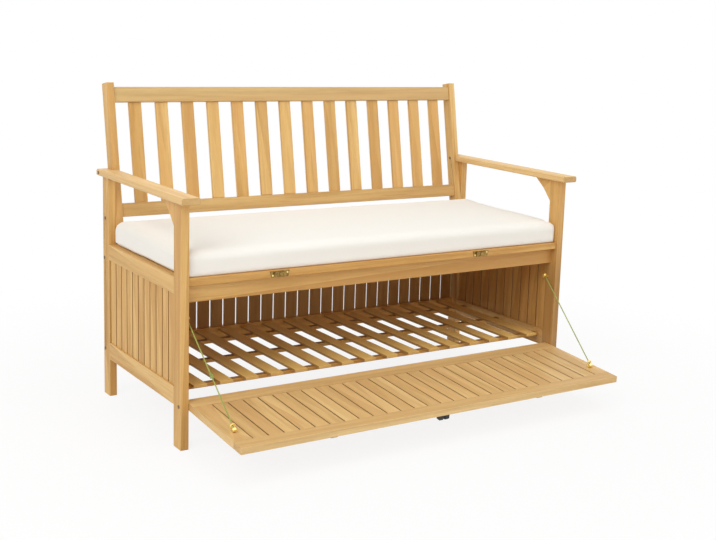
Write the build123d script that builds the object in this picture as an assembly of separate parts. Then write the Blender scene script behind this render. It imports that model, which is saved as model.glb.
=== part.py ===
"""Slatted garden storage bench with a drop-front door, in millimetres.

X runs left to right as a person standing in front sees it, Y runs from front to rear, Z is up.
Sizes in Y are first given from the front face of the front legs, and put() then moves every piece
so that the origin is under the middle of the whole bench, door open.
"""
import os
from math import atan2, cos, degrees, radians, sin, sqrt, tan

from build123d import *

# Whole frame
HALF_WIDTH = 587.0
FRAME_DEPTH = 513.0
LEG_WIDE = 20.0
LEG_DEEP = 42.0
LEG_IN = HALF_WIDTH - LEG_WIDE
REAR_LEG_Y = FRAME_DEPTH - LEG_DEEP
RAIL_T = 20.0

# Armrests and their brackets
ARM_TOP = 613.0
ARM_T = 17.0
ARM_UNDER = ARM_TOP - ARM_T
ARM_OUT = 12.0
ARM_IN = 15.0
ARM_FRONT = 30.0
ARM_REAR = 13.0
ARM_EASE = 2.5
BRACKET_T = 18.0
BRACKET_REACH = 70.0
BRACKET_DROP = 64.0
BRACKET_HOLLOW = 6.0

# Seat level and the rails that carry it
SEAT_TOP = 417.0
BOARD_T = 18.0
SEAT_UNDER = SEAT_TOP - BOARD_T
STRIP_SET = 4.0
STRIP_DEEP = 60.0
SEAT_BOARDS = 7
SEAT_GAP = 8.0
SEAT_REAR_GAP = 4.0
SEAT_REAR = FRAME_DEPTH - RAIL_T - SEAT_REAR_GAP
CLEAT = 20.0
BEARER_FROM_LEG = 377.0
BEARER_X = LEG_IN - BEARER_FROM_LEG
BEARER_WIDE = 30.0
BEARER_TALL = 34.0
APRON_TALL = 44.0
APRON_T = 18.0
SIDE_RAIL_TALL = 42.0
LOW_RAIL_Z = 104.0
LOW_RAIL_TALL = 45.0
LOW_RAIL_TOP = LOW_RAIL_Z + LOW_RAIL_TALL

# Upright slats of the sides and of the storage back
SLAT_T = 10.0
SIDE_SLATS = 11
SIDE_SLAT_GAP = 4.5
SIDE_SLAT_SET = 4.0
REAR_SLATS = 28
REAR_SLAT_GAP = 5.2
REAR_SLAT_T = 6.0
REAR_SLAT_SET = 7.0

# Backrest, built upright and then leant back
LEAN = 10.0
BACK_FORWARD = 7.0
BACK_Y = REAR_LEG_Y - BACK_FORWARD
BACK_Z = 450.0
BACK_TOP = 840.0
STILE_DEEP = 37.0
STILE_LOW = -26.0
STILE_HIGH = (BACK_TOP - BACK_Z) / cos(radians(LEAN))
BACK_RAIL_SET = 5.0
BACK_RAIL_T = 20.0
BACK_RAIL_LOW = (39.5, 76.0)
BACK_RAIL_HIGH = (344.0, 384.5)
BACK_SLATS = 14
BACK_SLAT_WIDE = 34.0
BACK_SLAT_SET = 5.0
NOTCH_GAP = 1.5

# Storage floor
FLOOR_SLATS = 16
FLOOR_SLAT_WIDE = 36.0
FLOOR_SLAT_T = 7.0
FLOOR_SIDE_GAP = 28.5
FLOOR_SPAN = LEG_IN - FLOOR_SIDE_GAP - FLOOR_SLAT_WIDE / 2
FLOOR_FORWARD = 6.0
FLOOR_FRONT = LEG_DEEP - FLOOR_FORWARD
FLOOR_REAR_GAP = 1.0
FLOOR_REAR = FRAME_DEPTH - RAIL_T - FLOOR_REAR_GAP
BATTEN_Z = 128.0
BATTEN_TALL = 10.0
BATTEN_WIDE = 18.0
BATTEN_FRONT_IN = 34.0
BATTEN_REAR_IN = 70.0
BATTEN_MIDDLE_OFF = 18.0

# Drop-front door, built shut and then laid open about its pivot
DOOR_T = 17.0
DOOR_SIDE_GAP = 1.0
DOOR_STOP_GAP = 1.0
DOOR_TOP_GAP = 2.5
DOOR_HALF = LEG_IN - DOOR_SIDE_GAP
DOOR_OUT_Y = STRIP_SET
DOOR_IN_Y = DOOR_OUT_Y + DOOR_T
APRON_Y = DOOR_IN_Y + DOOR_STOP_GAP
DOOR_TOP = SEAT_UNDER - DOOR_TOP_GAP
PIVOT_Y = 12.0
PIVOT_Z = 106.0
PIVOT_EDGE = 14.0
DOOR_LOW = PIVOT_Z - PIVOT_EDGE
DOOR_OPEN = 94.0
HINGE_RAIL = 48.0
FREE_RAIL = 37.5
DOOR_STILE = 46.0
DOOR_SLATS = 26
DOOR_SLAT_GAP = 3.5
DOOR_SLAT_SET = 0.6
HINGE_GROOVE = 2.0
HINGE_GROOVE_DEEP = 5.0

# Bolts, dowel pivots and screw eyes
BOLT_R = 3.0
BOLT_HEAD_R = 4.2
BOLT_HEAD_T = 1.4
HOLE_PLAY = 0.05
STILE_BOLT_IN = 18.0
STILE_BOLT_UP = 35.0
ARM_BOLT_IN = 2.0
STILE_BOLT = (FRAME_DEPTH - STILE_BOLT_IN, BACK_Z + STILE_BOLT_UP)
ARM_BOLT = (FRAME_DEPTH - ARM_BOLT_IN, ARM_UNDER + ARM_T / 2)
REAR_RAIL_Y = FRAME_DEPTH - RAIL_T / 2
RAIL_BOLT_DEEP = 40.0
RAIL_BOLT_END = 2.0
PIVOT_R = 4.0
PIVOT_DEEP = 24.0
EYE_R = 5.7
EYE_WIRE = 1.5
EYE_SHANK_R = 1.4
EYE_COLLAR_R = 3.2
EYE_COLLAR_T = 1.5
EYE_SINK = 12.0
EYE_BEHIND_DOOR = 12.0
EYE_BELOW_SEAT = 85.0
LEG_EYE = (DOOR_IN_Y + EYE_BEHIND_DOOR, SEAT_UNDER - EYE_BELOW_SEAT)
LEG_EYE_OUT = 9.0
DOOR_EYE_X = DOOR_HALF - DOOR_STILE / 2
DOOR_EYE_UP = 214.0
DOOR_EYE_OUT = 12.5

# Stay cords with a stopper knot at each end, and one loose knot in the left one
CORD_R = 1.7
STOP_KNOT_R = 4.6
CORD_GAP = 0.3
LOOSE_KNOT_R = 4.4
LOOSE_KNOT_AT = 0.55

# Turn-button latches, alike and both a little left of their even places, their keepers and the door pull
LATCH_FROM_END = 277.0
LATCH_SHIFT = -17.5
LATCH_X = HALF_WIDTH - LATCH_FROM_END
LATCH_Z = SEAT_TOP - BOARD_T / 2
PLATE_T = 1.6
PLATE_TALL = 16.0
PLATE_TOP = 54.0
PLATE_LOW = 46.0
STUD_R = 3.0
STUD_HEAD_R = 4.6
STUD_HEAD_T = 1.6
BUTTON_LONG = 34.0
BUTTON_TALL = 10.0
BUTTON_T = 2.4
BUTTON_PLAY = 0.05
LATCH_GAP = 0.4
SCREW_R = 2.4
SCREW_T = 1.2
SCREW_AT = ((20.0, 3.0), (-20.0, -3.0))
KEEPER_WIDE = 18.0
KEEPER_TALL = 13.0
KEEPER_T = 2.2
KEEPER_EDGE = 2.0
PULL_SHIFT = -10.0
PULL_WIDE = 30.0
PULL_TALL = 13.0
PULL_OUT = 15.0
PULL_FOOT = 5.0
PULL_NOTCH = 6.0
PULL_EDGE = 6.0

# Seat cushion: narrow between the front legs, wider over the side rails, with each layer's inset and height
CUSHION_LEG_GAP = 1.5
CUSHION_OVER_RAIL = 12.0
CUSHION_FRONT_SET = 2.0
CUSHION_BACK_GAP = 8.0
CUSHION_NARROW = LEG_IN - CUSHION_LEG_GAP
CUSHION_WIDE = LEG_IN + CUSHION_OVER_RAIL
CUSHION_FRONT = STRIP_SET + CUSHION_FRONT_SET
CUSHION_REAR = BACK_Y - CUSHION_BACK_GAP
CUSHION_STEP = (LEG_DEEP + 2.0, LEG_DEEP + 16.0)
CUSHION_LIFT = 0.1
CUSHION_FRONT_EASE = 4.0
CUSHION_REAR_EASE = 6.0
CUSHION_DRAW = 3.0
CUSHION_LAYERS = (
    (8.0, 0.0),
    (2.0, 6.0),
    (0.0, 18.0),
    (0.0, 36.0),
    (3.0, 48.0),
    (10.0, 55.0),
    (40.0, 59.0),
    (90.0, 60.5),
)

door_reach = DOOR_TOP - PIVOT_Z
droop = radians(DOOR_OPEN - 90.0)
FRONT_END = PIVOT_Y - door_reach * cos(droop) - (DOOR_IN_Y - PIVOT_Y) * sin(droop)
lean = radians(LEAN)
REAR_END = BACK_Y + STILE_DEEP * cos(lean) + STILE_HIGH * sin(lean)
MIDDLE_Y = (FRONT_END + REAR_END) / 2


def block(x, y, z):
    """A box from three pairs of limits."""
    size = [hi - lo for lo, hi in (x, y, z)]
    middle = [(lo + hi) / 2 for lo, hi in (x, y, z)]
    return Pos(*middle) * Box(*size)


def rod(start, direction, radius, length):
    """A round bar from a point along a direction."""
    upright = Cylinder(radius, length, align=(Align.CENTER, Align.CENTER, Align.MIN))
    return Plane(origin=start, z_dir=direction) * upright


def flip(shape):
    """The same piece on the other side of the bench."""
    return mirror(shape, about=Plane.YZ)


def group(shapes):
    """Separate pieces as one node."""
    return Compound([solid for shape in shapes for solid in shape.solids()])


def both(shape):
    """A piece and its mirror image as one group."""
    return group([shape, flip(shape)])


def put(name, shape):
    """Move a finished piece into the shared frame and write it."""
    export_step(Pos(0, -MIDDLE_Y, 0) * shape, f"parts/{name}.step")


def put_pair(name, right):
    put(f"{name}_right", right)
    put(f"{name}_left", flip(right))


def leant(shape):
    """Place a piece of the backrest, drawn upright at its front face."""
    return Pos(0, BACK_Y, BACK_Z) * Rot(-LEAN, 0, 0) * shape


def opened(shape):
    """Swing a piece of the door, drawn shut, to its open place."""
    return Pos(0, PIVOT_Y, PIVOT_Z) * Rot(DOOR_OPEN, 0, 0) * Pos(0, -PIVOT_Y, -PIVOT_Z) * shape


def opened_point(y, z):
    turn = radians(DOOR_OPEN)
    dy = y - PIVOT_Y
    dz = z - PIVOT_Z
    return PIVOT_Y + dy * cos(turn) - dz * sin(turn), PIVOT_Z + dy * sin(turn) + dz * cos(turn)


def row(first, last, count, gap):
    """Limits of equal slats that fill a span with equal gaps between them."""
    wide = (last - first - gap * (count - 1)) / count
    return [(first + i * (wide + gap), first + i * (wide + gap) + wide) for i in range(count)]


def bolt(x, y, z, length):
    """A bolt along +X from its head, whose underside is at x."""
    head = rod((x, y, z), (-1, 0, 0), BOLT_HEAD_R, BOLT_HEAD_T)
    return head + rod((x, y, z), (1, 0, 0), BOLT_R, length)


def bolt_hole(x, y, z, length, radius=BOLT_R):
    return rod((x, y, z), (1, 0, 0), radius + HOLE_PLAY, length)


def screw_eye(centre_out):
    """A screw eye standing on the plane Z = 0, its ring across Y."""
    shank = rod((0, 0, -EYE_SINK), (0, 0, 1), EYE_SHANK_R, EYE_SINK + centre_out - EYE_R)
    collar = rod((0, 0, 0), (0, 0, 1), EYE_COLLAR_R, EYE_COLLAR_T)
    ring = Pos(0, 0, centre_out) * Rot(90, 0, 0) * Torus(EYE_R, EYE_WIRE)
    return shank + collar + ring


def eye_hole():
    return rod((0, 0, -EYE_SINK), (0, 0, 1), EYE_SHANK_R + HOLE_PLAY, EYE_SINK)


os.makedirs("parts", exist_ok=True)

# Where the stay cord runs on the right-hand side
leg_ring = Vector(LEG_IN - LEG_EYE_OUT, *LEG_EYE)
door_ring = Vector(DOOR_EYE_X, *opened_point(DOOR_IN_Y + DOOR_EYE_OUT, DOOR_LOW + DOOR_EYE_UP))
cord_line = door_ring - leg_ring
cord_way = cord_line.normalized()
cord_turn = degrees(atan2(cord_way.Z, cord_way.Y))


def knot_out(ring_axis):
    """How far past a ring's middle a stopper knot comes to rest against it."""
    along = abs(cord_way.dot(ring_axis))
    across = sqrt(1 - along * along)
    reach = EYE_WIRE + STOP_KNOT_R + CORD_GAP
    return EYE_R * across + sqrt(reach ** 2 - (EYE_R * along) ** 2)


leg_knot = knot_out(Vector(0, cos(radians(cord_turn)), sin(radians(cord_turn))))
door_knot = knot_out(Vector(0, cos(droop), sin(droop)))

# Legs, with the holes for their bolts, pivots and eyes
rail_bolts = [(REAR_RAIL_Y, SEAT_UNDER - APRON_TALL / 2), (REAR_RAIL_Y, LOW_RAIL_Z + LOW_RAIL_TALL / 2)]
leg_bolts = rail_bolts + [STILE_BOLT]
leg_eye_place = Pos(LEG_IN, *LEG_EYE) * Rot(cord_turn, 0, 0) * Rot(0, -90, 0)
front_leg = block((LEG_IN, HALF_WIDTH), (0, LEG_DEEP), (0, ARM_UNDER))
front_leg -= bolt_hole(LEG_IN, PIVOT_Y, PIVOT_Z, LEG_WIDE, PIVOT_R)
front_leg -= leg_eye_place * eye_hole()
rear_leg = block((LEG_IN, HALF_WIDTH), (REAR_LEG_Y, FRAME_DEPTH), (0, ARM_UNDER))
for y, z in leg_bolts:
    rear_leg -= bolt_hole(LEG_IN, y, z, LEG_WIDE)
put_pair("front_leg", front_leg)
put_pair("rear_leg", rear_leg)

# Armrests, notched round the backrest, and the brackets below them
arm_x = (LEG_IN - ARM_IN, HALF_WIDTH + ARM_OUT)
arm_y = (-ARM_FRONT, FRAME_DEPTH + ARM_REAR)
notch_y = BACK_Y + (ARM_UNDER - BACK_Z) * tan(lean) - NOTCH_GAP
arm = block(arm_x, arm_y, (ARM_UNDER, ARM_TOP))
arm = chamfer(arm.edges().filter_by(Axis.Y), ARM_EASE)
arm -= block((arm_x[0] - 1, LEG_IN), (notch_y, arm_y[1] + 1), (ARM_UNDER - 1, ARM_TOP + 1))
arm -= bolt_hole(LEG_IN, *ARM_BOLT, arm_x[1] - LEG_IN)
put_pair("armrest", arm)
bracket_half = BRACKET_HOLLOW / 2
bracket_line = [
    (LEG_DEEP, ARM_UNDER),
    (LEG_DEEP + BRACKET_REACH, ARM_UNDER),
    (LEG_DEEP + BRACKET_REACH / 2 - bracket_half, ARM_UNDER - BRACKET_DROP / 2 + bracket_half),
    (LEG_DEEP, ARM_UNDER - BRACKET_DROP),
]
bracket_face = Plane.YZ * make_face(Polyline(*bracket_line, close=True))
bracket = Pos(LEG_IN + (LEG_WIDE - BRACKET_T) / 2, 0, 0) * extrude(bracket_face, BRACKET_T)
put_pair("arm_bracket", bracket)

# Side frames
side_x = (LEG_IN, HALF_WIDTH)
side_y = (LEG_DEEP, REAR_LEG_Y)
top_rail_z = (SEAT_TOP - SIDE_RAIL_TALL, SEAT_TOP)
put_pair("side_top_rail", block(side_x, side_y, top_rail_z))
put_pair("side_bottom_rail", block(side_x, side_y, (LOW_RAIL_Z, LOW_RAIL_TOP)))
side_slat_x = (HALF_WIDTH - SIDE_SLAT_SET - SLAT_T, HALF_WIDTH - SIDE_SLAT_SET)
side_slat_z = (LOW_RAIL_TOP, top_rail_z[0])
side_rows = row(side_y[0] + SIDE_SLAT_GAP, side_y[1] - SIDE_SLAT_GAP, SIDE_SLATS, SIDE_SLAT_GAP)
put_pair("side_slats", group(block(side_slat_x, y, side_slat_z) for y in side_rows))

# Storage back
rear_rail_y = (FRAME_DEPTH - RAIL_T, FRAME_DEPTH)
rear_top_z = (SEAT_UNDER - APRON_TALL, SEAT_UNDER)
between = (-LEG_IN, LEG_IN)
rear_top_rail = block(between, rear_rail_y, rear_top_z)
rear_bottom_rail = block(between, rear_rail_y, (LOW_RAIL_Z, LOW_RAIL_TOP))
rail_holes = [both(bolt_hole(LEG_IN - RAIL_BOLT_DEEP, y, z, RAIL_BOLT_DEEP)) for y, z in rail_bolts]
put("rear_top_rail", rear_top_rail - rail_holes[0])
put("rear_bottom_rail", rear_bottom_rail - rail_holes[1])
rear_slat_y = (FRAME_DEPTH - REAR_SLAT_SET - REAR_SLAT_T, FRAME_DEPTH - REAR_SLAT_SET)
rear_rows = row(-LEG_IN + REAR_SLAT_GAP, LEG_IN - REAR_SLAT_GAP, REAR_SLATS, REAR_SLAT_GAP)
put("rear_slats", group(block(x, rear_slat_y, (LOW_RAIL_TOP, rear_top_z[0])) for x in rear_rows))

# Seat: apron, front strip, boards, cleats and bearers
apron_y = (APRON_Y, APRON_Y + APRON_T)
strip_y = (STRIP_SET, STRIP_SET + STRIP_DEEP)
seat_z = (SEAT_UNDER, SEAT_TOP)
put("front_apron", block(between, apron_y, (SEAT_UNDER - APRON_TALL, SEAT_UNDER)))
put("seat_front_strip", block(between, strip_y, seat_z))
seat_rows = row(strip_y[1] + SEAT_GAP, SEAT_REAR, SEAT_BOARDS, SEAT_GAP)
put("seat_boards", group(block(between, y, seat_z) for y in seat_rows))
cleat_z = (SEAT_UNDER - CLEAT, SEAT_UNDER)
put_pair("seat_cleat", block((LEG_IN - CLEAT, LEG_IN), side_y, cleat_z))
bearer_x = (BEARER_X - BEARER_WIDE / 2, BEARER_X + BEARER_WIDE / 2)
bearer = block(bearer_x, (apron_y[1], rear_rail_y[0]), (SEAT_UNDER - BEARER_TALL, SEAT_UNDER))
put("seat_bearers", both(bearer))

# Storage floor
batten_top = BATTEN_Z + BATTEN_TALL
batten_half = BATTEN_WIDE / 2
batten_ends = (FLOOR_FRONT + BATTEN_FRONT_IN, FLOOR_REAR - BATTEN_REAR_IN)
batten_middles = [batten_ends[0], sum(batten_ends) / 2 + BATTEN_MIDDLE_OFF / 2, batten_ends[1]]
batten_rows = [(y - batten_half, y + batten_half) for y in batten_middles]
battens = [block(between, y, (BATTEN_Z, batten_top)) for y in batten_rows]
put("floor_battens", group(battens))
floor_pitch = 2 * FLOOR_SPAN / (FLOOR_SLATS - 1)
floor_middles = [-FLOOR_SPAN + i * floor_pitch for i in range(FLOOR_SLATS)]
half_slat = FLOOR_SLAT_WIDE / 2
floor_z = (batten_top, batten_top + FLOOR_SLAT_T)
floor_y = (FLOOR_FRONT, FLOOR_REAR)
put("floor_slats", group(block((x - half_slat, x + half_slat), floor_y, floor_z) for x in floor_middles))

# Backrest
stile = leant(block((LEG_IN - LEG_WIDE, LEG_IN), (0, STILE_DEEP), (STILE_LOW, STILE_HIGH)))
stile -= bolt_hole(LEG_IN - LEG_WIDE, *ARM_BOLT, LEG_WIDE)
stile -= bolt_hole(LEG_IN - LEG_WIDE, *STILE_BOLT, LEG_WIDE)
put_pair("back_stile", stile)
back_in = LEG_IN - LEG_WIDE
back_rail_y = (BACK_RAIL_SET, BACK_RAIL_SET + BACK_RAIL_T)
put("back_top_rail", leant(block((-back_in, back_in), back_rail_y, BACK_RAIL_HIGH)))
put("back_bottom_rail", leant(block((-back_in, back_in), back_rail_y, BACK_RAIL_LOW)))
back_slat_y = (BACK_RAIL_SET + BACK_SLAT_SET, BACK_RAIL_SET + BACK_SLAT_SET + SLAT_T)
back_slat_z = (BACK_RAIL_LOW[1], BACK_RAIL_HIGH[0])
back_gap = (2 * back_in - BACK_SLATS * BACK_SLAT_WIDE) / (BACK_SLATS + 1)
back_rows = row(-back_in + back_gap, back_in - back_gap, BACK_SLATS, back_gap)
put("back_slats", leant(group(block(x, back_slat_y, back_slat_z) for x in back_rows)))

# Bolts of the frame, dark heads outside
rail_bolt_long = LEG_WIDE + RAIL_BOLT_DEEP - RAIL_BOLT_END
side_bolts = [flip(bolt(-HALF_WIDTH, y, z, rail_bolt_long)) for y, z in rail_bolts]
side_bolts.append(flip(bolt(-HALF_WIDTH, *STILE_BOLT, 2 * LEG_WIDE)))
arm_bolt = bolt(LEG_IN - LEG_WIDE, *ARM_BOLT, arm_x[1] - back_in)
arm_bolt += rod((arm_x[1], *ARM_BOLT), (1, 0, 0), BOLT_HEAD_R, BOLT_HEAD_T)
put("frame_bolts", both(group(side_bolts + [arm_bolt])))
pivot_head = rod((HALF_WIDTH, PIVOT_Y, PIVOT_Z), (1, 0, 0), BOLT_HEAD_R, BOLT_HEAD_T)
pivot_pin = rod((HALF_WIDTH, PIVOT_Y, PIVOT_Z), (-1, 0, 0), PIVOT_R, LEG_WIDE + DOOR_SIDE_GAP + PIVOT_DEEP)
put("pivot_bolts", both(pivot_head + pivot_pin))

# Door frame and slats
door_y = (DOOR_OUT_Y, DOOR_IN_Y)
door_x = (-DOOR_HALF, DOOR_HALF)
hinge_rail = block(door_x, door_y, (DOOR_LOW, DOOR_LOW + HINGE_RAIL))
hinge_rail -= both(bolt_hole(DOOR_HALF - PIVOT_DEEP - 1, PIVOT_Y, PIVOT_Z, PIVOT_DEEP + 1, PIVOT_R))
put("door_hinge_rail", opened(hinge_rail))
put("door_free_rail", opened(block(door_x, door_y, (DOOR_TOP - FREE_RAIL, DOOR_TOP))))
panel_z = (DOOR_LOW + HINGE_RAIL, DOOR_TOP - FREE_RAIL)
door_stile = block((DOOR_HALF - DOOR_STILE, DOOR_HALF), door_y, panel_z)
door_eye_place = Pos(DOOR_EYE_X, DOOR_IN_Y, DOOR_LOW + DOOR_EYE_UP) * Rot(-90, 0, 0)
put_pair("door_stile", opened(door_stile - door_eye_place * eye_hole()))
door_slat_y = (DOOR_IN_Y - DOOR_SLAT_SET - SLAT_T, DOOR_IN_Y - DOOR_SLAT_SET)
door_in = DOOR_HALF - DOOR_STILE
door_rows = row(-door_in + DOOR_SLAT_GAP, door_in - DOOR_SLAT_GAP, DOOR_SLATS, DOOR_SLAT_GAP)
groove_y = (DOOR_IN_Y - HINGE_GROOVE_DEEP, DOOR_IN_Y)
groove = block(door_x, groove_y, (panel_z[0], panel_z[0] + HINGE_GROOVE))
put("door_slats", opened(group(block(x, door_slat_y, panel_z) - groove for x in door_rows)))

# Screw eyes on the legs and on the door
put("leg_eyes", both(leg_eye_place * screw_eye(LEG_EYE_OUT)))
put("door_eyes", both(opened(door_eye_place * screw_eye(DOOR_EYE_OUT))))

# Stay cords
cord_from = leg_ring - cord_way * leg_knot
cord_long = cord_line.length + leg_knot + door_knot
cord = rod(cord_from, cord_way, CORD_R, cord_long)
cord += Pos(cord_from) * Sphere(STOP_KNOT_R)
cord += Pos(cord_from + cord_way * cord_long) * Sphere(STOP_KNOT_R)
put("stay_cord_right", cord)
put("stay_cord_left", flip(cord + Pos(leg_ring + cord_line * LOOSE_KNOT_AT) * Sphere(LOOSE_KNOT_R)))

# Latches on the strip: plate, stud, screws and the turning button
plate_front = STRIP_SET - PLATE_T
plate_line = [
    (-PLATE_TOP / 2, PLATE_TALL / 2),
    (PLATE_TOP / 2, PLATE_TALL / 2),
    (PLATE_LOW / 2, -PLATE_TALL / 2),
    (-PLATE_LOW / 2, -PLATE_TALL / 2),
]
plate_face = Plane.XZ * make_face(Polyline(*plate_line, close=True))
plate = Pos(0, STRIP_SET, 0) * extrude(plate_face, PLATE_T)
screws = [rod((x, plate_front, z), (0, -1, 0), SCREW_R, SCREW_T) for x, z in SCREW_AT]
button_rear = plate_front - SCREW_T - LATCH_GAP
button_front = button_rear - BUTTON_T
stud = rod((0, plate_front, 0), (0, -1, 0), STUD_R, plate_front - button_front + LATCH_GAP)
stud += rod((0, button_front - LATCH_GAP, 0), (0, -1, 0), STUD_HEAD_R, STUD_HEAD_T)
button_x = (-BUTTON_LONG / 2, BUTTON_LONG / 2)
button = block(button_x, (button_front, button_rear), (-BUTTON_TALL / 2, BUTTON_TALL / 2))
button = chamfer(button.edges().filter_by(Axis.Y), BUTTON_TALL / 4)
button -= rod((0, button_rear, 0), (0, -1, 0), STUD_R + BUTTON_PLAY, BUTTON_T)
latch_middles = {"left": LATCH_SHIFT - LATCH_X, "right": LATCH_SHIFT + LATCH_X}
latch_spots = {side: Pos(x, 0, LATCH_Z) for side, x in latch_middles.items()}
put("latch_plates", group(spot * plate for spot in latch_spots.values()))
put("latch_studs", group(spot * stud for spot in latch_spots.values()))
put("latch_screws", group(spot * screw for spot in latch_spots.values() for screw in screws))
for side, spot in latch_spots.items():
    put(f"latch_button_{side}", spot * button)

# Keepers and pull on the outer face of the door
keeper_x = (-KEEPER_WIDE / 2, KEEPER_WIDE / 2)
keeper_z = (DOOR_TOP - KEEPER_EDGE - KEEPER_TALL, DOOR_TOP - KEEPER_EDGE)
keeper = block(keeper_x, (DOOR_OUT_Y - KEEPER_T, DOOR_OUT_Y), keeper_z)
put("door_keepers", opened(group(Pos(x, 0, 0) * keeper for x in latch_middles.values())))
pull_z = (DOOR_TOP - PULL_EDGE - PULL_TALL, DOOR_TOP - PULL_EDGE)
pull_x = (-PULL_WIDE / 2, PULL_WIDE / 2)
pull = block(pull_x, (DOOR_OUT_Y - PULL_OUT, DOOR_OUT_Y), pull_z)
pull = chamfer(pull.faces().sort_by(Axis.Y)[0].edges(), PULL_TALL / 5)
notch_y_limits = (DOOR_OUT_Y - PULL_OUT - 1, DOOR_OUT_Y - PULL_FOOT)
pull -= block((-PULL_NOTCH / 2, PULL_NOTCH / 2), notch_y_limits, (pull_z[0] - 1, pull_z[1] + 1))
put("door_pull", opened(Pos(PULL_SHIFT, 0, 0) * pull))

# Cushion in crowned layers
def cushion_outline(inset, up):
    narrow = CUSHION_NARROW - inset
    wide = CUSHION_WIDE - inset
    front = CUSHION_FRONT + inset
    rear = CUSHION_REAR - inset
    step = [y + inset for y in CUSHION_STEP]
    right_half = [
        (narrow - CUSHION_FRONT_EASE, front),
        (narrow, front + CUSHION_FRONT_EASE),
        (narrow, step[0]),
        (wide, step[1]),
        (wide, rear - CUSHION_REAR_EASE),
        (wide - CUSHION_REAR_EASE, rear),
    ]
    left_half = [(-x, y) for x, y in reversed(right_half)]
    side_middle = (step[1] + rear - CUSHION_REAR_EASE) / 2
    lines = [
        ThreePointArc(left_half[-1], (0, front + CUSHION_DRAW), right_half[0]),
        Polyline(*right_half[:4]),
        ThreePointArc(right_half[3], (wide - CUSHION_DRAW, side_middle), right_half[4]),
        Line(right_half[4], right_half[5]),
        ThreePointArc(right_half[5], (0, rear - CUSHION_DRAW), left_half[0]),
        Line(left_half[0], left_half[1]),
        ThreePointArc(left_half[1], (CUSHION_DRAW - wide, side_middle), left_half[2]),
        Polyline(*left_half[2:]),
    ]
    edges = [edge for line in lines for edge in line.edges()]
    return Pos(0, 0, SEAT_TOP + CUSHION_LIFT + up) * make_face(edges)


put("cushion", loft([cushion_outline(inset, up) for inset, up in CUSHION_LAYERS], ruled=True))
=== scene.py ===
# %% [markdown]
# # A slatted garden storage bench
#
# This lesson dresses a wooden garden bench whose boards, bolts and latches already exist as solid parts.
# We keep those boards where they are, give every surface its finish, and model what is soft: the seat
# cushion and the two stay cords that hold the drop-front door.

# %% Load the bench
from math import copysign, cos, pi, radians, sin

import bmesh
import bpy
from mathutils import Matrix, Vector, noise


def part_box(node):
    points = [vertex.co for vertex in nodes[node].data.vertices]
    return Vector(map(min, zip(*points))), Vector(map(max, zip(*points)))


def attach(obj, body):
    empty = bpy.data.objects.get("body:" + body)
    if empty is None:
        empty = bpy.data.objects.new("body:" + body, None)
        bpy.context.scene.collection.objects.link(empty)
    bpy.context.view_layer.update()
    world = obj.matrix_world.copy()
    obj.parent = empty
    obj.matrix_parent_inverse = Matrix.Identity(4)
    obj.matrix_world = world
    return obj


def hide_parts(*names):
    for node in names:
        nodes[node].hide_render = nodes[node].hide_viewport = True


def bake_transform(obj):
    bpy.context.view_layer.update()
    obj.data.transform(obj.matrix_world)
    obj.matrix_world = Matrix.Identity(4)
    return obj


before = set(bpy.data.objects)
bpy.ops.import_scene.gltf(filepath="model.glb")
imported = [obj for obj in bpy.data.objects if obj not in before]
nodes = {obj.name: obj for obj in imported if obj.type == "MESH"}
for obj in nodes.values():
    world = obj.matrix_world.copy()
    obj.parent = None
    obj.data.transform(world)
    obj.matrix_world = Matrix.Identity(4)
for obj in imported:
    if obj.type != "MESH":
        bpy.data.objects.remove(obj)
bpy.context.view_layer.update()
print("boards and fittings:", len(nodes))

# %% [markdown]
# ## The camera
#
# The picture was taken from the left front, a little above the seat. A camera is a place, three angles
# and a lens. We build its axes by hand from the angles, which is easier to check than a tangle of Euler
# angles. The small shift keeps the bench where it stands in the picture.

# %% Camera
PICTURE_WIDE, PICTURE_TALL = 716, 540
FOCAL_PX = 1182.8
MIDDLE_PX = (430.0, 230.0)
YAW, PITCH, ROLL = radians(35.473), radians(10.021), radians(2.281)
STAND_AT = Vector((-1.675628, -2.659882, 1.032026))
SENSOR_MM = 36.0

level_right = Vector((cos(YAW), -sin(YAW), 0))
level_ahead = Vector((sin(YAW), cos(YAW), 0))
ahead = level_ahead * cos(PITCH) - Vector((0, 0, 1)) * sin(PITCH)
upward = Vector((0, 0, 1)) * cos(PITCH) + level_ahead * sin(PITCH)
right = level_right * cos(ROLL) + upward * sin(ROLL)
top = upward * cos(ROLL) - level_right * sin(ROLL)


def add_object(name, data):
    """A new object in the scene."""
    made = bpy.data.objects.new(name, data)
    bpy.context.scene.collection.objects.link(made)
    return made


camera_data = bpy.data.cameras.new("camera")
camera_data.sensor_fit = "HORIZONTAL"
camera_data.sensor_width = SENSOR_MM
camera_data.lens = SENSOR_MM * FOCAL_PX / PICTURE_WIDE
camera_data.shift_x = (PICTURE_WIDE / 2 - MIDDLE_PX[0]) / PICTURE_WIDE
camera_data.shift_y = (MIDDLE_PX[1] - PICTURE_TALL / 2) / PICTURE_WIDE
camera = add_object("camera", camera_data)
camera.matrix_world = Matrix.Translation(STAND_AT) @ Matrix((right, top, -ahead)).transposed().to_4x4()
bpy.context.scene.camera = camera
print("lens", round(camera_data.lens, 2), "mm")

# %% [markdown]
# ## Shader maths in plain Python
#
# A finish is a small net of nodes. Writing `fibre * 0.4 + ring` is far easier to read than wiring Math
# nodes one by one, so one class wraps a socket and turns operators into nodes. A second class makes every
# other kind of node, for the studio walls too, and a third adds a surface shader to that.


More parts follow.
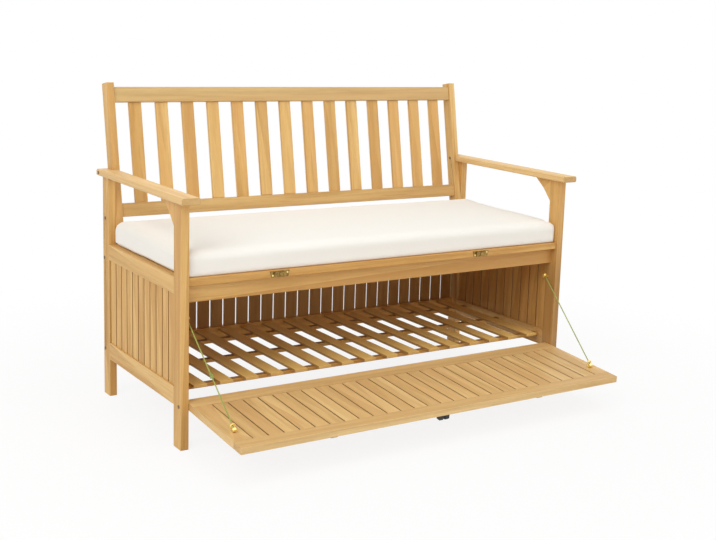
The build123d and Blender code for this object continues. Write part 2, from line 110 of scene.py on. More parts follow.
# %% Sockets that do sums
class Flow:
    """A value that travels through a net of nodes."""

    def __init__(self, net, socket):
        self.net = net
        self.socket = socket

    def sum(self, operation, *others):
        return self.net.math(operation, self, *others)

    def __add__(self, other):
        return self.net.math("ADD", self, other)

    __radd__ = __add__

    def __mul__(self, other):
        return self.net.math("MULTIPLY", self, other)

    __rmul__ = __mul__

    def __sub__(self, other):
        return self.net.math("SUBTRACT", self, other)

    def __rsub__(self, other):
        return self.net.math("SUBTRACT", other, self)

    def __pow__(self, other):
        return self.net.math("POWER", self, other)

    def __rpow__(self, other):
        return self.net.math("POWER", other, self)


# %% Nets of nodes
class Net:
    """A net of nodes under construction."""

    def __init__(self, tree):
        self.tree = tree

    def feed(self, socket, value):
        if isinstance(value, Flow):
            self.tree.links.new(value.socket, socket)
        else:
            socket.default_value = value

    def node(self, kind, settings=None, sockets=None, out=0):
        made = self.tree.nodes.new("ShaderNode" + kind)
        for key, value in (settings or {}).items():
            setattr(made, key, value)
        for key, value in (sockets or {}).items():
            self.feed(made.inputs[key], value)
        return Flow(self, made.outputs[out])

    def math(self, operation, *values):
        return self.node("Math", {"operation": operation}, dict(enumerate(values)))

    def seen(self):
        """1 where the camera or a reflection looks, and 0 for the light that falls on things."""
        rays = [self.node("LightPath", out=ray) for ray in ("Is Camera Ray", "Is Glossy Ray")]
        return self.math("MAXIMUM", *rays)


# %% Finishes
class Finish(Net):
    """A material under construction."""

    def __init__(self, name):
        self.material = bpy.data.materials.new(name)
        self.material.use_nodes = True
        super().__init__(self.material.node_tree)
        self.tree.nodes.clear()
        self.shader = self.tree.nodes.new("ShaderNodeBsdfPrincipled")
        self.end = self.tree.nodes.new("ShaderNodeOutputMaterial")
        self.tree.links.new(self.shader.outputs["BSDF"], self.end.inputs["Surface"])

    def place(self):
        """Where a point lies on the bench."""
        return self.node("TexCoord", out="Object")

    def point(self, x, y, z):
        return self.node("CombineXYZ", None, {0: x, 1: y, 2: z})

    def split(self, vector):
        """The three numbers of a vector."""
        made = self.node("SeparateXYZ", None, {0: vector}).socket.node
        return [Flow(self, number) for number in made.outputs]

    def cloud(self, vector, scale=1.0, detail=2.0, roughness=0.5, distortion=0.0):
        values = {"Vector": vector, "Scale": scale, "Detail": detail, "Roughness": roughness}
        return self.node("TexNoise", None, values | {"Distortion": distortion})

    def step(self, value, low, high, to_low=0.0, to_high=1.0):
        """A soft step from to_low to to_high as value goes from low to high."""
        limits = {"From Min": low, "From Max": high, "To Min": to_low, "To Max": to_high}
        return self.node("MapRange", {"interpolation_type": "SMOOTHSTEP"}, {"Value": value} | limits)

    def mix(self, share, one, other, way="MIX"):
        settings = {"data_type": "RGBA", "blend_type": way}
        return self.node("Mix", settings, {0: share, 6: one, 7: other}, out=2)

    def bump(self, height, distance, strength):
        return self.node("Bump", None, {"Height": height, "Distance": distance, "Strength": strength})

    def paint(self, **values):
        for key, value in values.items():
            self.feed(self.shader.inputs[key.replace("_", " ").title().replace("Ior", "IOR")], value)
        return self.material


def rgb(red, green, blue):
    return (red, green, blue, 1.0)


# %% [markdown]
# ## Oiled wood
#
# The boards are a honey-coloured hardwood under a thin satin oil. A picture of wood would need unwrapping
# and would repeat, so the grain comes from noise. Each board came from another plank, so its tone differs
# a little, and its grain runs along its length. We take the place of a point on the bench, turn it so that
# the first number runs along the board, and stretch noise along it: long for growth bands, thin for
# fibres, short and dark for pores. Ends of boards show darker end grain.

# %% Wood colours
HONEY_LIGHT = rgb(0.83, 0.575, 0.245)
HONEY = rgb(0.72, 0.445, 0.155)
HONEY_DARK = rgb(0.50, 0.265, 0.075)
# The pore brown also serves as painted shade on flanks, on one leg and on the slats inside the box.
PORE_AND_SHADE_BROWN = rgb(0.28, 0.135, 0.04)
ROSE_TINT = rgb(0.72, 0.40, 0.145)
END_BROWN = rgb(0.42, 0.225, 0.07)
AMBER = rgb(0.90, 0.76, 0.52)
PALE = rgb(0.90, 0.74, 0.46)
GOLD = rgb(0.94, 0.63, 0.19)
# A dull grey-brown used as painted shade on rails that catch less light.
RAIL_SHADE = rgb(0.34, 0.31, 0.19)

# %% Grain
# Each pair says how fast a pattern changes along a board and across it, per metre.
WANDER = (2.2, 9.0)
BANDS = (1.6, 26.0)
STREAKS = (4.0, 120.0)
FIBRES = (9.0, 420.0)
PORES = (45.0, 1100.0)
RING_WIDE, RING_DEEP, RING_WANDER, RING_SHARP = 210.0, 150.0, 18.0, 2.2
# Two ways to shuffle the random numbers of a board and of its node, and how far each moves the grain.
SHUFFLE = (7.31, 3.77)
SHUFFLE_TWO = (13.7, 9.13)
SHIFT_ALONG, SHIFT_ACROSS = 41.0, 17.0


def board_numbers(wood):
    """Two random numbers for each board."""
    island = wood.node("NewGeometry", out="Random Per Island")
    whole = wood.node("ObjectInfo", out="Random")
    return [(island * a + whole * b).sum("FRACT") for a, b in (SHUFFLE, SHUFFLE_TWO)]


def grain_maps(wood, length, wide, deep):
    """The rings, growth bands, streaks, fibres and pores of a board."""

    def grain(stretch, **look):
        runs, crosses = stretch
        return wood.cloud(wood.point(length * runs, wide * crosses, deep * crosses), **look)

    wander = grain(WANDER, detail=3.0)
    wave = (wide * RING_WIDE + deep * RING_DEEP + wander * RING_WANDER).sum("SINE")
    rings = (wave * 0.5 + 0.5) ** RING_SHARP
    bands = grain(BANDS, detail=4.0, distortion=0.5)
    streak = grain(STREAKS, detail=3.0, roughness=0.6)
    fibre = grain(FIBRES, detail=5.0, roughness=0.65)
    pores = wood.step(grain(PORES, detail=2.0), 0.60, 0.72)
    return rings, bands, streak, fibre, pores


# %% Wood finish
# How dark end grain is, how strong the painted shade on slat flanks is, and the heights over which a leg
# gets painted shade.
END_SHARE, FLANK_SHADE_SHARE = 0.40, 0.75
SHADE_FROM, SHADE_BELOW = 0.50, 0.28
WOOD_SHINE = 0.36
WOOD_BUMP = {"distance": 0.0004, "strength": 0.55}


def oiled_wood(name, along, amber, tint=None, tilt=0.0, painted_shade_axis=None, low_shade=0.0):
    """Wood with its grain along an axis, deeper by amber, an optional (colour, share) tint, and optional
    painted shade.
    """
    wood = Finish(name)
    place = wood.place()
    facing = wood.node("TexCoord", out="Normal")
    if tilt:
        turn = {"rotation_type": "X_AXIS"}
        place = wood.node("VectorRotate", turn, {"Vector": place, "Angle": radians(tilt)})
        facing = wood.node("VectorRotate", turn, {"Vector": facing, "Angle": radians(tilt)})
    places, faces = wood.split(place), wood.split(facing)
    first = "XYZ".index(along)
    length, wide, deep = (places[(first + i) % 3] for i in range(3))
    board, board_two = board_numbers(wood)
    length = length + board * SHIFT_ALONG
    wide = wide + board_two * SHIFT_ACROSS
    rings, bands, streak, fibre, pores = grain_maps(wood, length, wide, deep)
    end_grain = wood.step(faces[first].sum("ABSOLUTE"), 0.75, 0.95)

    layers = [
        (rings * 0.36, HONEY_DARK),
        (wood.step(streak, 0.50, 0.74, 0.0, 0.55), HONEY_DARK),
        (wood.step(fibre, 0.42, 0.80, 0.0, 0.42), HONEY_DARK),
        (pores * 0.30, PORE_AND_SHADE_BROWN),
        (wood.step(board_two, 0.45, 1.0, 0.0, 0.45), ROSE_TINT),
        (wood.step(board, 0.40, 1.0, 0.0, 0.40), HONEY_DARK),
        (wood.step(board, 0.45, 0.0, 0.0, 0.45), HONEY_LIGHT),
    ]
    tone = wood.mix(wood.step(bands, 0.30, 0.70), HONEY_LIGHT, HONEY)
    for share, colour in layers:
        tone = wood.mix(share, tone, colour)
    tone = wood.mix(amber, tone, AMBER, "MULTIPLY")
    if tint:
        tint_colour, tint_share = tint
        tone = wood.mix(tint_share, tone, tint_colour)
    # Painted shade: darker towards the foot, for the shade that falls inside the storage opening.
    if low_shade:
        tone = wood.mix(wood.step(places[2], SHADE_FROM, SHADE_BELOW, 0.0, low_shade), tone, PORE_AND_SHADE_BROWN)
    tone = wood.mix(end_grain * END_SHARE, tone, END_BROWN)
    # Painted shade: faces that look along one axis turn dark brown, for the shade between and under slats.
    if painted_shade_axis:
        flank_shade = wood.step(faces["XYZ".index(painted_shade_axis)].sum("ABSOLUTE"), 0.55, 0.90)
        tone = wood.mix(flank_shade * FLANK_SHADE_SHARE, tone, PORE_AND_SHADE_BROWN)

    return wood.paint(
        base_color=tone,
        roughness=wood.step(fibre, 0.2, 0.8, 0.42, 0.60) + pores * 0.12,
        specular_ior_level=WOOD_SHINE,
        normal=wood.bump(fibre * 0.6 - pores * 0.7 - rings * 0.25, **WOOD_BUMP),
    )


# %% [markdown]
# ## Runs of boards
#
# Boards from the same batch share one finish: one for the whole bench would look flat, and one for each
# board would be slow to adjust. Each run says which way its grain goes and how deep its oil is. Some runs
# also carry painted shade: on the narrow flanks of slats and the tops of battens, where shade falls between
# and under the boards; as a dull grey-brown tint on the back rails and a brown tint on the slats inside the
# box; and on one leg towards its foot. Other tints make a batch paler or more golden.

# %% Sort the boards
BACK_LEAN = 10.0
DOOR_DROOP = 4.0
LEFT_RIGHT = ("left", "right")
# An axis given for painted shade darkens the flanks of slats, or the tops of battens, that face that way.
BOARD_RUNS = {
    # The back rails' dull grey-brown tint is painted shade: they catch less light than the slats.
    "top_rail": ({"along": "X", "amber": 0.05, "tint": (RAIL_SHADE, 0.25)}, ["back_top_rail"]),
    "bottom_rail": ({"along": "X", "amber": 0.30, "tint": (RAIL_SHADE, 0.11)}, ["back_bottom_rail"]),
    "front_strip": ({"along": "X", "amber": 0.72}, ["seat_front_strip"]),
    "front_apron": ({"along": "X", "amber": 0.45}, ["front_apron"]),
    "rear_rails": ({"along": "X", "amber": 1.0}, ["rear_top_rail", "rear_bottom_rail"]),
    "seat": ({"along": "X", "amber": 0.7}, ["seat_boards"]),
    "battens": ({"along": "X", "amber": 1.0, "painted_shade_axis": "Z"}, ["floor_battens"]),
    "door_rails": (
        {"along": "X", "amber": 0.08, "tint": (PALE, 0.14)},
        ["door_hinge_rail", "door_free_rail"],
    ),
    "armrests": (
        {"along": "Y", "amber": 0.05, "tint": (PALE, 0.14)},
        [f"armrest_{s}" for s in LEFT_RIGHT],
    ),
    "side_rails": (
        {"along": "Y", "amber": 0.20},
        [f"side_{level}_rail_{s}" for level in ("top", "bottom") for s in LEFT_RIGHT],
    ),
    "inside": ({"along": "Y", "amber": 0.7}, ["seat_cleat_left", "seat_cleat_right", "seat_bearers"]),
    "floor": ({"along": "Y", "amber": 0.0, "tint": (GOLD, 0.65), "painted_shade_axis": "X"}, ["floor_slats"]),
    "legs": (
        {"along": "Z", "amber": 0.45},
        ["front_leg_left", "rear_leg_left", "rear_leg_right", "arm_bracket_left", "arm_bracket_right"],
    ),
    # This leg gets painted shade towards its foot, for the shade inside the storage opening.
    "foot_shaded_leg": ({"along": "Z", "amber": 0.40, "low_shade": 0.55}, ["front_leg_right"]),
    "side_slats": ({"along": "Z", "amber": 0.50, "painted_shade_axis": "Y"}, ["side_slats_left"]),
    # These slats face into the box; their brown tint is painted shade.
    "shaded_side_slats": (
        {"along": "Z", "amber": 0.60, "tint": (PORE_AND_SHADE_BROWN, 0.22), "painted_shade_axis": "Y"},
        ["side_slats_right"],
    ),
    # The rear slats face into the box too; their brown tint is painted shade.
    "rear_slats": (
        {"along": "Z", "amber": 1.0, "tint": (PORE_AND_SHADE_BROWN, 0.55), "painted_shade_axis": "X"},
        ["rear_slats"],
    ),
    "back_stiles": (
        {"along": "Z", "amber": 0.25, "tilt": BACK_LEAN},
        [f"back_stile_{s}" for s in LEFT_RIGHT],
    ),
    "back_slats": ({"along": "Z", "amber": 0.34, "tilt": BACK_LEAN}, ["back_slats"]),
    "door_stiles": (
        {"along": "Y", "amber": 0.08, "tint": (PALE, 0.14), "tilt": -DOOR_DROOP},
        [f"door_stile_{s}" for s in LEFT_RIGHT],
    ),
    "door_slats": (
        {"along": "Y", "amber": 0.08, "tint": (PALE, 0.14), "tilt": -DOOR_DROOP, "painted_shade_axis": "X"},
        ["door_slats"],
    ),
}
print("runs of boards:", len(BOARD_RUNS))

# %% [markdown]
# ## Eased edges on every board
#
# A sanded board has no razor edge, and that tiny round catches the light. A shader could fake it, but a
# mesh that leaves Blender would lose it. So a Weld joins the faces of each board again, and a Bevel rounds
# only its real corners, which keeps the board's size. Thin slats have a finer round than the heavy frame.

# %% Dress the boards
EASE = 0.0016
FINE_EASE = 0.0008
FINE_RUNS = ("side_slats", "shaded_side_slats", "rear_slats", "door_slats", "door_stiles", "door_rails")
EASE_STEPS = 3
CORNER = radians(35)
WELD = 0.00001


def dress(name, material, ease):
    piece = nodes[name]
    piece.data.materials.clear()
    piece.data.materials.append(material)
    weld = piece.modifiers.new("weld", "WELD")
    weld.merge_threshold = WELD
    soft = piece.modifiers.new("eased_edge", "BEVEL")
    soft.width = ease
    soft.segments = EASE_STEPS
    soft.limit_method = "ANGLE"
    soft.angle_limit = CORNER
    soft.harden_normals = True


for run, (recipe, names) in BOARD_RUNS.items():
    finish = oiled_wood(f"oiled_wood_{run}", **recipe)
    for name in names:
        dress(name, finish, FINE_EASE if run in FINE_RUNS else EASE)
print("boards dressed:", sum(len(names) for _, names in BOARD_RUNS.values()))

# %% [markdown]
# ## Metal fittings
#
# The latches, screw eyes and cord ends are brass that has gone a little dull, darker where hands don't
# polish it. The bolt heads are browned steel, and the pull on the door is black plastic. One flat colour
# would look newly cast, so blotches of noise change both colour and gloss, because tarnish does both.


# %% Brass
def aged_brass(name, bright, dull, tarnish):
    brass = Finish(name)
    place = brass.place()
    blotch = brass.cloud(place, scale=170.0, detail=4.0, roughness=0.6)
    specks = brass.cloud(place, scale=900.0, detail=2.0)
    worn = brass.step(blotch, 0.36, 0.66)
    return brass.paint(
        base_color=brass.mix(worn * tarnish, bright, dull),
        metallic=1.0,
        roughness=brass.step(blotch, 0.3, 0.7, 0.24, 0.44) + specks * 0.05,
        normal=brass.bump(specks, 0.0001, 0.3),
    )


dull_brass = aged_brass("aged_brass", rgb(0.42, 0.27, 0.09), rgb(0.17, 0.105, 0.03), 0.85)
bright_brass = aged_brass("polished_brass", rgb(0.98, 0.80, 0.28), rgb(0.86, 0.62, 0.16), 0.45)
print("brass finishes:", dull_brass.name, bright_brass.name)


# %% Steel and plastic
def browned_steel():
    steel = Finish("browned_steel")
    blotch = steel.cloud(steel.place(), scale=260.0, detail=3.0)
    return steel.paint(
        base_color=steel.mix(blotch, rgb(0.12, 0.078, 0.040), rgb(0.33, 0.225, 0.12)),
        metallic=0.7,
        roughness=steel.step(blotch, 0.3, 0.7, 0.38, 0.56),
        normal=steel.bump(blotch, 0.0001, 0.4),
    )


def black_plastic():
    plastic = Finish("black_plastic")
    pebble = plastic.cloud(plastic.place(), scale=1500.0, detail=1.0)
    return plastic.paint(
        base_color=plastic.mix(pebble, rgb(0.010, 0.010, 0.010), rgb(0.030, 0.030, 0.029)),
        roughness=plastic.step(pebble, 0.3, 0.7, 0.42, 0.58),
        normal=plastic.bump(pebble, 0.0001, 0.5),
    )


# %% Dress the fittings
FITTING_EASE = 0.0004
FITTINGS = [
    (
        dull_brass,
        ["latch_plates", "latch_studs", "latch_button_left", "latch_button_right", "door_keepers"],
    ),
    (bright_brass, ["latch_screws", "leg_eyes", "door_eyes"]),
    (browned_steel(), ["frame_bolts", "pivot_bolts"]),
    (black_plastic(), ["door_pull"]),
]
for material, names in FITTINGS:
    for name in names:
        dress(name, material, FITTING_EASE)
print("fittings dressed:", sum(len(names) for _, names in FITTINGS))

# %% [markdown]
# ## The stay cords
#
# Two thin twisted cords stop the door when it lies open. Each runs straight from an eye on the leg to an
# eye on the door, because the door's weight pulls it tight. A plain tube would do from afar, but the twist
# shows in the outline. So we lay one smooth spline along the route, read its points back, and wind three
# strands round them.


# %% Cord finish
def twisted_cord():
    cord = Finish("green_cord")
    place = cord.place()
    hairs = cord.cloud(place, scale=1600.0, detail=3.0, roughness=0.7)
    fade = cord.cloud(place, scale=30.0, detail=2.0)
    tone = cord.mix(hairs, rgb(0.19, 0.25, 0.045), rgb(0.46, 0.52, 0.13))
    tone = cord.mix(cord.step(fade, 0.4, 0.7, 0.0, 0.35), tone, rgb(0.52, 0.50, 0.12))
    return cord.paint(base_color=tone, roughness=0.62, normal=cord.bump(hairs, 0.0002, 0.6))


green_cord = twisted_cord()
print("cord finish:", green_cord.name)

# %% Follow a route
ROUTE_FINE = 40


def spline_points(route):
    """The points of one smooth spline through a route."""
    curve = bpy.data.curves.new("route", "CURVE")
    curve.dimensions = "3D"
    curve.resolution_u = ROUTE_FINE
    spline = curve.splines.new("NURBS")
    spline.points.add(len(route) - 1)
    for point, place in zip(spline.points, route):
        point.co = (*place, 1.0)
    spline.order_u = 3
    spline.use_endpoint_u = True
    holder = bpy.data.objects.new("route", curve)
    mesh = bpy.data.meshes.new_from_object(holder)
    line = [vertex.co.copy() for vertex in mesh.vertices]
    bpy.data.meshes.remove(mesh)
    bpy.data.curves.remove(curve)
    return line


def walk(line, count):
    """Evenly spaced places on a line, each with its direction and its distance from the start."""
    far = [0.0]
    for a, b in zip(line, line[1:]):
        far.append(far[-1] + (b - a).length)
    found = []
    leg = 0
    for i in range(count):
        at = far[-1] * i / (count - 1)
        while leg < len(line) - 2 and far[leg + 1] < at:
            leg += 1
        a, b = line[leg], line[leg + 1]
        share = (at - far[leg]) / (far[leg + 1] - far[leg])
        found.append((a.lerp(b, share), (b - a).normalized(), at))
    return found


# %% Skin rings of points
def square_to(way):
    """Two directions square to a line and to each other."""
    side = way.cross(Vector((1, 0, 0))).normalized()
    return side, way.cross(side)


def circle(middle, side, over, radius, sides):
    angles = [2 * pi * k / sides for k in range(sides)]
    return [middle + (side * cos(a) + over * sin(a)) * radius for a in angles]


def tube(build, rings, close=False):
    """Skin a list of rings of points, with a cap at each end."""
    loops = [[build.verts.new(p) for p in ring] for ring in rings]
    sides = len(loops[0])
    pairs = list(zip(loops, loops[1:])) + ([(loops[-1], loops[0])] if close else [])
    for one, two in pairs:
        for i in range(sides):
            build.faces.new((one[i], one[(i + 1) % sides], two[(i + 1) % sides], two[i]))
    if not close:
        build.faces.new(reversed(loops[0]))
        build.faces.new(loops[-1])


def to_mesh(build, name):
    bmesh.ops.recalc_face_normals(build, faces=build.faces)
    mesh = bpy.data.meshes.new(name)
    build.to_mesh(mesh)
    build.free()
    return mesh


def new_piece(name, mesh, material, body):
    piece = add_object(name, mesh)
    mesh.materials.append(material)
    for polygon in mesh.polygons:
        polygon.use_smooth = True
    if body:
        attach(piece, body)
    return piece


# %% Wind the strands
STRANDS = 3
STRAND_OUT = 0.00076
STRAND_R = 0.00084
STRAND_SIDES = 8
TWIST = 0.010
RINGS_PER_M = 1300


def strand_mesh(name, line):
    build = bmesh.new()
    long = sum((b - a).length for a, b in zip(line, line[1:]))
    steps = walk(line, int(long * RINGS_PER_M))
    for strand in range(STRANDS):
        rings = []
        for place, way, at in steps:
            side, over = square_to(way)
            angle = 2 * pi * (at / TWIST + strand / STRANDS)
            middle = place + (side * cos(angle) + over * sin(angle)) * STRAND_OUT
            rings.append(circle(middle, side, over, STRAND_R, STRAND_SIDES))
        tube(build, rings)
    return to_mesh(build, name), long


# %% [markdown]
# A brass bead closes each end of a cord behind its eye. It is a turned shape, so we spin a short profile
# round the cord's line. The left cord also has a loose overhand knot, which is a tube along a trefoil.

# %% Bead and knot
BEAD_PROFILE = (
    (-0.0042, 0.0028), (-0.0038, 0.0044), (-0.0026, 0.0057), (-0.0006, 0.0063),
    (0.0018, 0.0060), (0.0038, 0.0049), (0.0050, 0.0033), (0.0054, 0.0021),
)
BEAD_SIDES = 28
KNOT_SCALE = 0.0017
KNOT_LONG = 1.15
KNOT_RISE = 1.4
KNOT_TUBE = 0.0013
KNOT_STEPS = 96


def bead_mesh(name, middle, way):
    build = bmesh.new()
    side, over = square_to(way)
    tube(build, [circle(middle + way * x, side, over, r, BEAD_SIDES) for x, r in BEAD_PROFILE])
    return to_mesh(build, name)


def knot_mesh(name, middle, way):
    build = bmesh.new()
    side, over = square_to(way)
    places = []
    for i in range(KNOT_STEPS):
        t = 2 * pi * i / KNOT_STEPS
        x, y, z = sin(t) + 2 * sin(2 * t), cos(t) - 2 * cos(2 * t), -KNOT_RISE * sin(3 * t)
        places.append(middle + (way * x * KNOT_LONG + side * y + over * z) * KNOT_SCALE)
    rings = []
    for i, place in enumerate(places):
        along = (places[(i + 1) % KNOT_STEPS] - places[i - 1]).normalized()
        one = along.cross(over).normalized()
        rings.append(circle(place, one, along.cross(one), KNOT_TUBE, STRAND_SIDES))
    tube(build, rings, close=True)
    return to_mesh(build, name)


# %% Lay the cords
LEG_RING = Vector((0.558, -0.1123926, 0.314))
DOOR_RING = Vector((0.543, -0.3344052, 0.1134963))
PAST_LEG = 0.0032097
PAST_DOOR = 0.0080929
CLEAR_OF_RING = 0.0204
BEAD_AWAY = 0.0010
LOOSE_KNOT_AT = 0.55
for side_name, flip in (("left", -1), ("right", 1)):
    leg_ring = Vector((flip * LEG_RING.x, LEG_RING.y, LEG_RING.z))
    door_ring = Vector((flip * DOOR_RING.x, DOOR_RING.y, DOOR_RING.z))
    way = (door_ring - leg_ring).normalized()
    route = [
        leg_ring - way * PAST_LEG,
        leg_ring + way * CLEAR_OF_RING,
        door_ring - way * CLEAR_OF_RING,
        door_ring + way * PAST_DOOR,
    ]
    line = spline_points(route)
    mesh, long = strand_mesh(f"stay_rope_{side_name}", line)
    rope = new_piece(f"stay_rope_{side_name}", mesh, green_cord, None)
    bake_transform(rope)
    top_bead = bead_mesh(f"rope_bead_leg_{side_name}", route[0] - way * BEAD_AWAY, -way)
    low_bead = bead_mesh(f"rope_bead_door_{side_name}", route[-1] + way * BEAD_AWAY, way)
    ends = [
        new_piece(f"rope_bead_leg_{side_name}", top_bead, bright_brass, "frame"),
        new_piece(f"rope_bead_door_{side_name}", low_bead, bright_brass, "door"),
    ]
    if side_name == "left":
        knot = knot_mesh("rope_knot_left", leg_ring.lerp(door_ring, LOOSE_KNOT_AT), way)
        knot = new_piece("rope_knot_left", knot, green_cord, None)
        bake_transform(knot)
        ends.append(knot)
    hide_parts(f"stay_cord_{side_name}")
    print("stay rope", side_name, round(long, 4), "m")

# %% [markdown]
# ## The seat cushion
#
# The cushion is one foam pad in a cream woven cover: crowned on top, drawn in a little between its
# corners, and flat where it lies on the boards. We could push a box into that shape by hand, but cloth
# blown up from inside takes most of it by itself. So we start from a slightly smaller pad, let it swell for
# a few frames, and stop any point that goes too far.

# %% Cushion cover finish
THREADS = 3900.0
SLUBS = (90.0, 900.0)


def woven_cover():
    cover = Finish("cream_woven_cover")
    place = cover.place()
    x, y, z = cover.split(place)
    warp = ((x * THREADS).sum("SINE") + (z * THREADS).sum("SINE")) * 0.5
    weft = ((y * THREADS).sum("SINE") + (z * THREADS).sum("COSINE")) * 0.5
    weave = warp * weft * 0.5 + 0.5
    slub = cover.cloud(cover.point(x * SLUBS[0], y * SLUBS[1], z * SLUBS[1]), detail=2.0)
    soft = cover.cloud(place, scale=7.0, detail=3.0)
    tone = cover.mix(weave * 0.5, rgb(0.905, 0.89, 0.845), rgb(0.87, 0.845, 0.785))
    tone = cover.mix(cover.step(slub, 0.45, 0.75, 0.0, 0.20), tone, rgb(0.83, 0.80, 0.735))
    tone = cover.mix(cover.step(soft, 0.35, 0.7, 0.0, 0.18), tone, rgb(0.90, 0.875, 0.82))
    return cover.paint(
        base_color=tone,
        roughness=cover.step(slub, 0.3, 0.7, 0.82, 0.93),
        specular_ior_level=0.2,
        sheen_weight=0.25,
        sheen_roughness=0.5,
        normal=cover.bump(weave * 0.7 + slub * 0.3, 0.0005, 0.35),
    )


cream_cover = woven_cover()
print("cover finish:", cream_cover.name)

# %% Pad outline
PAD_INSET = Vector((0.002, 0.002, 0.002))
LEG_GAP = 0.0015
STEP_FROM_LEG = (0.002, 0.016)
FRONT_EASE = 0.004
REAR_EASE = 0.006
TOP_ROUND = 0.018
LOW_ROUND = 0.002
ROUND_STEPS = 4
SAME_LEVEL = 1e-6

leg_low, leg_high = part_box("front_leg_right")
between_legs = leg_low.x - LEG_GAP
step_y = [leg_high.y + away for away in STEP_FROM_LEG]
print("room between the front legs:", round(2 * between_legs, 4), "m")


def pad_mesh(low, high):
    """A flat-bottomed pad, narrow between the front legs and wider behind them."""
    narrow = between_legs - PAD_INSET.x
    right_half = [
        (narrow - FRONT_EASE, low.y),
        (narrow, low.y + FRONT_EASE),
        (narrow, step_y[0]),
        (high.x, step_y[1]),
        (high.x, high.y - REAR_EASE),
        (high.x - REAR_EASE, high.y),
    ]
    outline = right_half + [(-x, y) for x, y in reversed(right_half)]
    build = bmesh.new()
    base = build.faces.new([build.verts.new((x, y, low.z)) for x, y in outline])
    raised = bmesh.ops.extrude_face_region(build, geom=[base])["geom"]
    upper = [part for part in raised if isinstance(part, bmesh.types.BMVert)]
    bmesh.ops.translate(build, vec=(0, 0, high.z - low.z), verts=upper)
    bmesh.ops.recalc_face_normals(build, faces=build.faces)
    for level, offset in ((high.z, TOP_ROUND), (low.z, LOW_ROUND)):
        rim = [e for e in build.edges if all(abs(v.co.z - level) < SAME_LEVEL for v in e.verts)]
        bmesh.ops.bevel(build, geom=rim, offset=offset, segments=ROUND_STEPS, affect="EDGES", profile=0.5)
    return to_mesh(build, "seat_cushion")


# %% Fill the pad with one even mesh
VOXEL = 0.006

low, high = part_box("cushion")
pad = add_object("seat_cushion", pad_mesh(low + PAD_INSET, high - PAD_INSET))
remesh = pad.modifiers.new("remesh", "REMESH")
remesh.mode = "VOXEL"
remesh.voxel_size = VOXEL
even = bpy.data.meshes.new_from_object(pad.evaluated_get(bpy.context.evaluated_depsgraph_get()))
pad.modifiers.clear()
pad.data = even
print("cushion points:", len(pad.data.vertices))

# %% Swell the pad
COVER_CLOTH = {
    "quality": 4,
    "mass": 0.3,
    "tension_stiffness": 20,
    "compression_stiffness": 20,
    "shear_stiffness": 8,
    "bending_stiffness": 4,
    "use_pressure": True,
    "uniform_pressure_force": 4.0,
}
PAD_FRAMES = 20
PAD_CAP = 0.005
TINY = 1e-9


def swell(pad):
    cloth = pad.modifiers.new("cloth", "CLOTH")
    for key, value in COVER_CLOTH.items():
        setattr(cloth.settings, key, value)
    cloth.settings.effector_weights.gravity = 0
    cloth.point_cache.frame_start = 1
    cloth.point_cache.frame_end = PAD_FRAMES
    scene = bpy.context.scene
    for step in range(1, PAD_FRAMES + 1):
        scene.frame_set(step)
    shape = pad.evaluated_get(bpy.context.evaluated_depsgraph_get())
    swollen = [vertex.co.copy() for vertex in shape.data.vertices]
    pad.modifiers.remove(cloth)
    scene.frame_set(1)
    for vertex, place in zip(pad.data.vertices, swollen):
        move = place - vertex.co
        vertex.co += move * min(1.0, PAD_CAP / max(move.length, TINY))
    print("cushion swelled for", PAD_FRAMES, "frames")


swell(pad)

# %% [markdown]
# Foam and sewing give the rest. The top is crowned and puckers a little, the sides draw in between the
# corners, the front edge drops and the rear one rises, and the ends lift where they lie over the side
# rails. A point that would leave the seat is drawn most of the way back.

# %% Shape the pad
CROWN = 0.004
PUCKER = 0.0011
PUCKER_WAVES = (7, 9)
PUCKER_SLICE = 3.0
DRAW = 0.002
SAG = 0.004
SETTLE = 0.0002
TOP_SPARE = 0.007
FRONT_PROUD = 0.0015
FRONT_DROP = 0.0025
REAR_RISE = 0.005
END_LIFT = 0.014
END_ZONE = 0.032
STRETCH = (1.010, 1.012)
HOLD = 0.3

middle = (low + high) / 2
half = (high - low) / 2


def held(value, limit):
    """Draw a distance that passes its limit most of the way back."""
    if abs(value) <= limit:
        return value
    return copysign(limit + HOLD * (abs(value) - limit), value)


def behind_leg(y):
    """0 beside the front legs, 1 behind them."""
    return min(max((y - step_y[0]) / (step_y[1] - step_y[0]), 0.0), 1.0)


def shaped(place):
    """Where one point of the swollen pad comes to lie."""
    across = (place.x - middle.x) / half.x
    deep = (place.y - middle.y) / half.y
    height = (place.z - middle.z) / half.z
    if height > 0:
        pucker = Vector((place.x * PUCKER_WAVES[0], place.y * PUCKER_WAVES[1], PUCKER_SLICE))
        place.z += CROWN * (1 - across ** 2) * (1 - deep ** 2)
        place.z += PUCKER * noise.noise(pucker)
        place.z += height * deep ** 2 * (REAR_RISE if deep > 0 else -FRONT_DROP)
    else:
        end = max(0.0, abs(place.x) - (high.x - END_ZONE)) / END_ZONE * behind_leg(place.y)
        place.z += SAG * height * (1 - end) - END_LIFT * height * min(end, 1.0) ** 2
    draw = DRAW * max(0.0, 1 - height ** 2)
    place.x -= draw * across * (1 - deep ** 2)
    place.y -= draw * deep * (1 - across ** 2)
    place.z = min(max(place.z, low.z + SETTLE), high.z + TOP_SPARE)
    place.y = middle.y + held((place.y - middle.y) * STRETCH[1], half.y + FRONT_PROUD)
    room = between_legs + behind_leg(place.y) * (high.x - between_legs)
    place.x = held(place.x * STRETCH[0], room)
    return place


for vertex in pad.data.vertices:
    vertex.co = shaped(vertex.co.copy())
pad.data.materials.clear()
pad.data.materials.append(cream_cover)
for polygon in pad.data.polygons:
    polygon.use_smooth = True
finer = pad.modifiers.new("finer", "SUBSURF")
finer.levels = 1
finer.render_levels = 1
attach(pad, "cushion")
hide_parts("cushion")
print("cushion top:", round(max(vertex.co.z for vertex in pad.data.vertices), 4), "m")

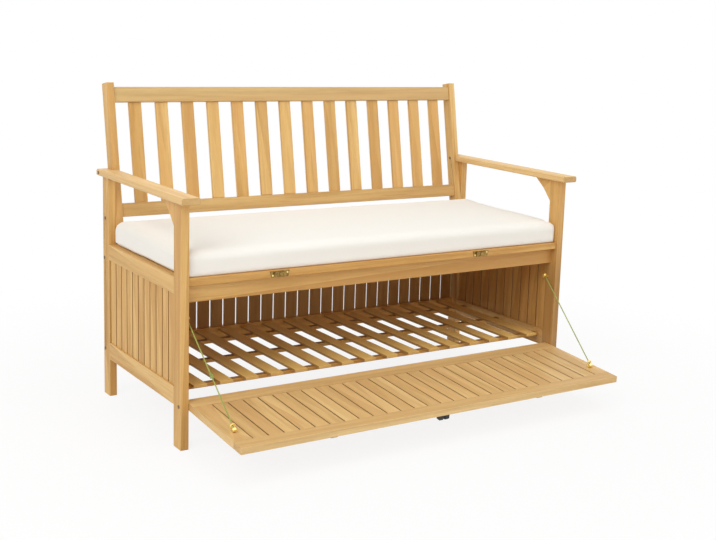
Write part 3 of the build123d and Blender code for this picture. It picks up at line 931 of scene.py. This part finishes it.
# %% [markdown]
# ## Floor and light
#
# The bench stands on a plain pale floor under large soft lamps, as in a catalogue studio. More light would
# whiten the floor and bleach the wood with it. So floor and walls are brighter to the camera and to
# reflections than to the bench: they read as white paper, and the floor still keeps a soft shadow.

# %% Paper floor
WHITE = rgb(1.0, 1.0, 1.0)
PAPER_PALE = rgb(0.86, 0.86, 0.86)
PAPER_GREY = rgb(0.82, 0.82, 0.82)
PAPER_GRAIN = 0.05
GLOW_NEAR, GLOW_FAR = 0.75, 1.7
GLOW_BY_BENCH = 0.87
FLOOR_HALF = 14.0


def paper_floor():
    paper = Finish("paper_floor")
    place = paper.place()
    grain = paper.cloud(place, scale=3.0)
    paper.paint(base_color=paper.mix(grain * PAPER_GRAIN, PAPER_PALE, PAPER_GREY), roughness=0.9)
    from_bench = paper.node("VectorMath", {"operation": "LENGTH"}, {0: place}, out="Value")
    share = paper.seen() * paper.step(from_bench, GLOW_NEAR, GLOW_FAR, GLOW_BY_BENCH, 1.0)
    matt = Flow(paper, paper.shader.outputs["BSDF"])
    glow = paper.node("Emission", None, {"Color": WHITE, "Strength": 1.0})
    blend = paper.node("MixShader", None, {0: share, 1: matt, 2: glow})
    paper.feed(paper.end.inputs["Surface"], blend)
    return paper.material


corners = [(x * FLOOR_HALF, y * FLOOR_HALF, 0) for x, y in ((-1, -1), (1, -1), (1, 1), (-1, 1))]
floor_mesh = bpy.data.meshes.new("floor")
floor_mesh.from_pydata(corners, [], [(0, 1, 2, 3)])
floor_mesh.materials.append(paper_floor())
floor = add_object("floor", floor_mesh)
print("floor:", 2 * FLOOR_HALF, "m wide")

# %% Studio walls
WALL_LIGHT = 0.44

world = bpy.data.worlds.new("studio")
bpy.context.scene.world = world
world.use_nodes = True
walls = Net(world.node_tree)
wall = walls.tree.nodes["Background"]
walls.feed(wall.inputs["Color"], WHITE)
walls.feed(wall.inputs["Strength"], walls.seen() * (1 - WALL_LIGHT) + WALL_LIGHT)
print("wall light:", WALL_LIGHT)

# %% Lamps
AIM = Vector((0, 0, 0.4))
REAR_AIM = Vector((0, 0, 0.5))


def lamp(name, place, aim, size, power, colour):
    data = bpy.data.lights.new(name, "AREA")
    data.shape = "DISK"
    data.size = size
    data.energy = power
    data.color = colour
    made = add_object(name, data)
    made.location = place
    made.rotation_mode = "QUATERNION"
    made.rotation_quaternion = (aim - Vector(place)).to_track_quat("-Z", "Y")


lamp("key_lamp", (-3.9, -2.2, 3.5), AIM, size=4.4, power=142, colour=(1.0, 0.985, 0.955))
lamp("top_lamp", (0.2, -0.9, 4.4), AIM, size=3.2, power=50, colour=(1.0, 0.99, 0.97))
lamp("fill_lamp", (2.6, -3.8, 2.4), AIM, size=3.4, power=34, colour=(1.0, 0.975, 0.93))
lamp("rear_lamp", (0.6, 3.4, 3.6), REAR_AIM, size=3.0, power=30, colour=(1.0, 1.0, 1.0))
bpy.context.scene.view_settings.view_transform = "Standard"
print("lamps:", len(bpy.data.lights))
